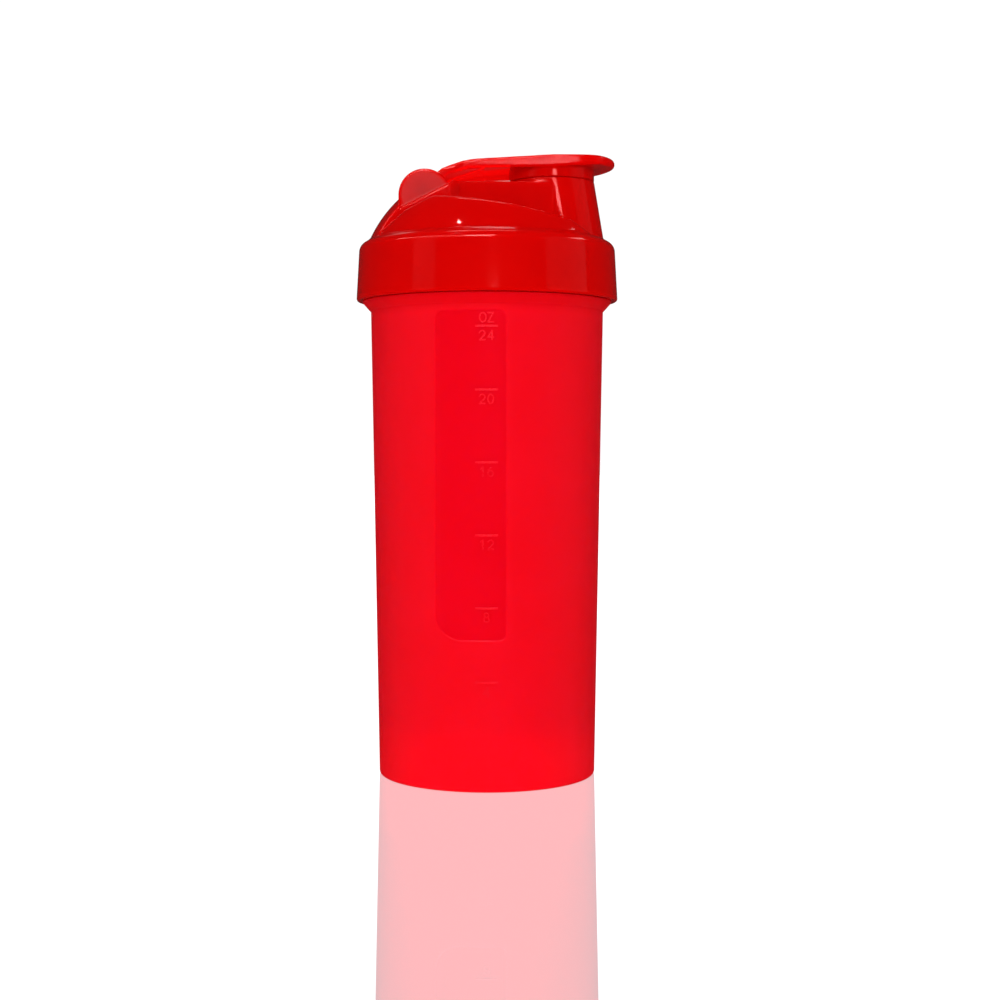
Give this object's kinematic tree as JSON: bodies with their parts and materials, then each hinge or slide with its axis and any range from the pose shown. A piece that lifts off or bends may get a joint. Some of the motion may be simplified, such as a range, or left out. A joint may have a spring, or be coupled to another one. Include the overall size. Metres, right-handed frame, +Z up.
{
  "type": "protein shaker bottle",
  "caption": "Tapered shaker cup with a screw-on domed lid, hinged flip cap over a side drinking spout, and an inner mixing strainer.",
  "frame": {"origin": "centre of the foot ring on the table, on the cup's axis", "axes": "+Z up along the cup's axis, +X towards the drinking spout, -X towards the flip cap's hinge, measuring window faces -Y"},
  "size_m": [0.0938, 0.0938, 0.2198],
  "materials": {
    "cup_frosted": "translucent frosted red plastic, satin outside",
    "lid_gloss": "glossy deep red plastic, slightly translucent",
    "cap_gloss": "glossy deep red plastic, slightly translucent",
    "seal_soft": "soft matte silicone",
    "strainer_gloss": "glossy red plastic"
  },
  "bodies": {
    "cup": {"cup": "cup_frosted"},
    "gasket": {"lid_gasket": "seal_soft"},
    "lid": {"screw_lid": "lid_gloss"},
    "cap": {"flip_cap": "cap_gloss", "spout_seal": "seal_soft"},
    "strainer": {"strainer": "strainer_gloss"}
  },
  "joints": [
    {"name": "lid_rise", "type": "slide", "parent": "cup", "child": "gasket", "axis": [0, 0, 1], "range_m": [0, 0.022]},
    {"name": "lid_turn", "type": "hinge", "parent": "gasket", "child": "lid", "pos_m": [0, 0, 0.18], "axis": [0, 0, 1], "range_deg": [0, 540]},
    {"name": "cap_flip", "type": "hinge", "parent": "lid", "child": "cap", "pos_m": [-0.0224, 0, 0.2068], "axis": [0, -1, 0], "range_deg": [0, 120]},
    {"name": "strainer_pull", "type": "slide", "parent": "lid", "child": "strainer", "axis": [0, 0, -1], "range_m": [0, 0.012]}
  ],
  "couplings": [
    {"joint": "lid_rise", "follows": "lid_turn", "m_per_rad": 0.0022918}
  ]
}
